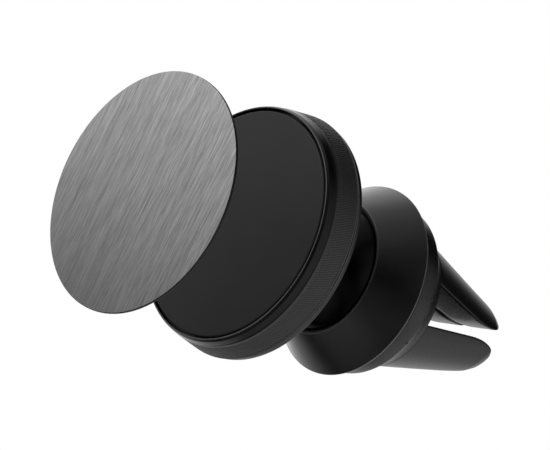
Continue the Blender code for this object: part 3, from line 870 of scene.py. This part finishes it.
PRONG_LENGTH = rear_of("prong_sleeve_1")
PRONG_HALF_X = 10.56 * MM  # outer half widths of the four prongs together, at the root
PRONG_HALF_Z = 11.28 * MM
PRONG_TAPER_X = 0.200
PRONG_TAPER_Z = 0.283
ROOT_EXPONENT = 1.95  # of the outline's superellipse
TIP_EXPONENT = 1.6
WIDE_SLOT_HALF = 3.4 * MM
WIDE_SLOT_TAPER = 0.169
NARROW_SLOT_HALF = 1.14 * MM
NARROW_SLOT_TAPER = 0.105
NARROWEST_HALF = 0.3 * MM
MOUTH_LENGTH = 7.8 * MM  # over which both slots flare open again
MOUTH_FLARE_X = 3.1 * MM
MOUTH_FLARE_Z = 3.4 * MM
NOSE_LENGTH = 2.1 * MM
NOSE_THICKNESS = 3.0 * MM
TIP_ROUNDING = 0.6 * MM
TIP_START = math.radians(35)  # how far round its arc the tip starts, as its sides slope in already
EDGE_EASING = 0.35 * MM  # half the stretch over which a prong's long edges turn
ROOT_DEPTH = 0.3 * MM  # of a prong inside the base
ROOT_INSET = 0.12 * MM
PRONG_ROWS = 44
TIP_ROWS = 10
BODY_LENGTH = 4.1 * MM
BODY_FRONT = rear_of("clip_base") - BODY_LENGTH
BODY_RADIUS = 13.0 * MM  # just behind the flange
BODY_SLOPE_X = -0.95  # of the body's sides where they leave the flange
BODY_SLOPE_Z = -0.62
BODY_ROWS = 16


def rounding(y, length):
    """Rises from 0 to 1 along a quarter circle over the last stretch of a prong."""
    along = (y - (PRONG_LENGTH - length)) / length
    return 1 - math.sqrt(max(1 - along * along, 0.0)) if along > 0 else 0.0


def ramp(first, last, steps):
    """Values from first to last, closer together at both ends. The last one is left out."""
    shares = [0.5 - 0.5 * math.cos(math.pi * i / steps) for i in range(steps)]
    return [first + (last - first) * share for share in shares]


def eased(outline, reach, samples=4):
    """Averages a closed outline over a short stretch each way, which rounds its corners."""
    closed = [Vector(p) for p in outline + outline[:1]]
    places = [0.0]
    for a, b in zip(closed, closed[1:]):
        places.append(places[-1] + (b - a).length)

    def point_at(place):
        place %= places[-1]
        i = min(bisect.bisect_right(places, place), len(outline)) - 1
        stretch = places[i + 1] - places[i]
        return closed[i].lerp(closed[i + 1], (place - places[i]) / stretch)

    shifts = [reach * k / samples for k in range(-samples, samples + 1)]

    def average_at(place):
        return sum((point_at(place + shift) for shift in shifts), Vector((0, 0))) / len(shifts)

    return [average_at(place) for place in places[:-1]]


def prong_outline(y, inset):
    """Eased outline (x, z) of the +X +Z quarter's prong at one station, drawn in by an inset."""
    mouth = rounding(y, MOUTH_LENGTH)
    nose = rounding(y, NOSE_LENGTH)
    inner_x = max(NARROW_SLOT_HALF - NARROW_SLOT_TAPER * y, NARROWEST_HALF)
    inner_x += MOUTH_FLARE_X * mouth + inset
    inner_z = WIDE_SLOT_HALF - WIDE_SLOT_TAPER * y + MOUTH_FLARE_Z * mouth + inset
    outer_x = PRONG_HALF_X - PRONG_TAPER_X * y - inset
    outer_z = PRONG_HALF_Z - PRONG_TAPER_Z * y - inset
    outer_x -= (outer_x - inner_x - NOSE_THICKNESS) * nose
    outer_z -= (outer_z - inner_z - NOSE_THICKNESS) * nose
    exponent = ROOT_EXPONENT + (TIP_EXPONENT - ROOT_EXPONENT) * y / PRONG_LENGTH
    first = math.asin((inner_z / outer_z) ** (exponent / 2))
    last = math.acos((inner_x / outer_x) ** (exponent / 2))
    end_x = outer_x * math.cos(first) ** (2 / exponent)
    end_z = outer_z * math.sin(last) ** (2 / exponent)
    outline = [(x, inner_z) for x in ramp(inner_x, end_x, 12)]
    for angle in ramp(first, last, 28):
        power = 2 / exponent
        outline.append((outer_x * math.cos(angle) ** power, outer_z * math.sin(angle) ** power))
    outline += [(inner_x, z) for z in ramp(end_z, inner_z, 12)]
    return eased(outline, EDGE_EASING)


def prong_sections():
    """Places and outlines of a prong's sections, from just inside the base to the rounded tip."""
    shoulder = PRONG_LENGTH - TIP_ROUNDING
    sections = [(-ROOT_DEPTH, prong_outline(-ROOT_DEPTH, ROOT_INSET))]
    for i in range(PRONG_ROWS + 1):
        y = shoulder * math.sin(0.5 * math.pi * i / PRONG_ROWS)
        sections.append((y, prong_outline(y, 0.0)))
    last = sections[-1][1]
    centre = sum(last, Vector((0, 0))) / len(last)
    radius = TIP_ROUNDING / (1 - math.sin(TIP_START))
    for i in range(1, TIP_ROWS):
        angle = TIP_START + (0.5 * math.pi - TIP_START) * i / TIP_ROWS
        outline = [centre + (p - centre) * math.cos(angle) / math.cos(TIP_START) for p in last]
        sections.append((shoulder + radius * (math.sin(angle) - math.sin(TIP_START)), outline))
    return sections


def make_prong(index, signs, materials):
    """A springy prong whose root starts inside the base."""
    sign_x, sign_z = signs
    vertices, rings = [], []
    for y, outline in prong_sections():
        rings.append(range(len(vertices), len(vertices) + len(outline)))
        vertices += [(sign_x * p.x, y, sign_z * p.y) for p in outline]
    faces = [tuple(rings[0]), tuple(rings[-1])]
    for low, high in zip(rings, rings[1:]):
        for i in range(len(low)):
            j = (i + 1) % len(low)
            faces.append((low[i], low[j], high[j], high[i]))
    prong = piece_from(f"prong_{index}", vertices, faces, materials["sleeve"], 60)
    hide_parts(f"prong_sleeve_{index}")
    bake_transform(prong)


def hermite(t, first, first_slope, last, last_slope):
    """A smooth curve between two values with given slopes, for t from 0 to 1."""
    return (
        first * (2 * t**3 - 3 * t**2 + 1)
        + first_slope * (t**3 - 2 * t**2 + t)
        + last * (3 * t**2 - 2 * t**3)
        + last_slope * (t**3 - t**2)
    )


def body_radius(angle, y):
    """Radius of the body behind the flange, which turns from round to the prongs' oval."""
    length = -BODY_FRONT
    t = (y - BODY_FRONT) / length
    half_x = hermite(t, BODY_RADIUS, BODY_SLOPE_X * length, PRONG_HALF_X, -PRONG_TAPER_X * length)
    half_z = hermite(t, BODY_RADIUS, BODY_SLOPE_Z * length, PRONG_HALF_Z, -PRONG_TAPER_Z * length)
    exponent = 2 + (ROOT_EXPONENT - 2) * t
    across = abs(math.cos(angle) / half_x) ** exponent + abs(math.sin(angle) / half_z) ** exponent
    return across ** (-1 / exponent)


def make_clip_base(materials):
    """Flange, pocket and a body that runs smoothly into the prongs."""
    flange = radius_of("clip_base")
    floor = -1.1 * MM
    pocket, pocket_front = 10.6 * MM, -6.1 * MM
    thread = 12.9 * MM
    front_part = rounded(
        [
            (0.0, 0.0, 0),
            (0.0, floor, 0),
            (pocket, floor, 0),
            (pocket, pocket_front, 0),
            (thread, pocket_front, 0),
            (thread, CLIP_FRONT, 0.1 * MM),
            (flange, CLIP_FRONT, 0.8 * MM),
            (flange, BODY_FRONT - 0.35 * MM, 0.45 * MM),
            (BODY_RADIUS + 0.25 * MM, BODY_FRONT - 0.05 * MM, 0.3 * MM),
        ],
        6,
    )
    heights = [BODY_FRONT * (1 - i / BODY_ROWS) for i in range(BODY_ROWS + 1)]
    profile = front_part + [(BODY_RADIUS, y) for y in heights]

    def relief(angle, row):
        along = row - len(front_part)
        return body_radius(angle, heights[along]) - BODY_RADIUS if along >= 0 else 0.0

    base = turned("clip_body", profile, materials["clip"], FINE, relief)
    carve(base, pit_cutter(flange))
    stand_in_for(base, "clip", "clip", "clip_base")


FLANGE_MARK_Y = -4.65 * MM  # where the pit and the pips are on the flange's rim
PIT_RADIUS = 0.26 * MM
PIT_AT = -34  # degrees round the flange from X towards Z
PIP_RADIUS = 0.24 * MM
PIPS_AT = (-1, 179)
PIP_SINK = 0.04 * MM  # of a pip's centre inside the rim


def flange_point(radius, degrees):
    angle = math.radians(degrees)
    return Vector((radius * math.cos(angle), FLANGE_MARK_Y, radius * math.sin(angle)))


def add_bead(bm, radius, stretch, place):
    made = bmesh.ops.create_uvsphere(bm, u_segments=20, v_segments=12, radius=radius)
    bmesh.ops.scale(bm, vec=stretch, verts=made["verts"])
    bmesh.ops.translate(bm, vec=place, verts=made["verts"])


def pit_cutter(flange):
    """Cutter for the small pit that a mould pin leaves in the flange's rim."""
    bm = bmesh.new()
    add_bead(bm, PIT_RADIUS, (1.0, 1.0, 1.0), flange_point(flange, PIT_AT))
    return object_from(bm, "pit")


def make_parting_pips(materials):
    """A pip of flash where the mould's parting line crosses the flange's rim, on each side."""
    inside_rim = radius_of("clip_base") - PIP_SINK
    bm = bmesh.new()
    for degrees in PIPS_AT:
        add_bead(bm, PIP_RADIUS, (0.6, 1.3, 1.0), flange_point(inside_rim, degrees))
    pips = object_from(bm, "parting_pips")
    pips.data.materials.append(materials["clip"])
    pips.data.shade_smooth()
    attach(pips, "clip")


def make_clip(materials):
    make_clip_base(materials)
    make_parting_pips(materials)
    for index, signs in enumerate(((1, 1), (1, -1), (-1, -1), (-1, 1)), 1):
        make_prong(index, signs, materials)


def dress_inner_pieces(materials):
    """Finishes of the hidden pieces, whose CAD shapes stay as they are."""
    finishes = {
        "white": ["magnet_carrier", "swivel_washer", "grip_ring", "ball_seat"],
        "nickel": [f"magnet_{i}" for i in range(1, 5)],
        "zinc": ["back_iron", "stem_screw", "lock_nut"],
        "rubber": ["seat_ring"],
        "core": [f"prong_core_{i}" for i in range(1, 5)],
    }
    for finish, nodes in finishes.items():
        for node in nodes:
            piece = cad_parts[node]
            piece.data.materials.clear()
            piece.data.materials.append(materials[finish])


make_studio()
materials = make_materials()
make_plate(materials)
make_pad(materials)
make_bezel(materials)
make_cover(materials)
make_cover_screws(materials)
make_ball(materials)
make_collar(materials)
make_gasket(materials)
make_clip(materials)
dress_inner_pieces(materials)
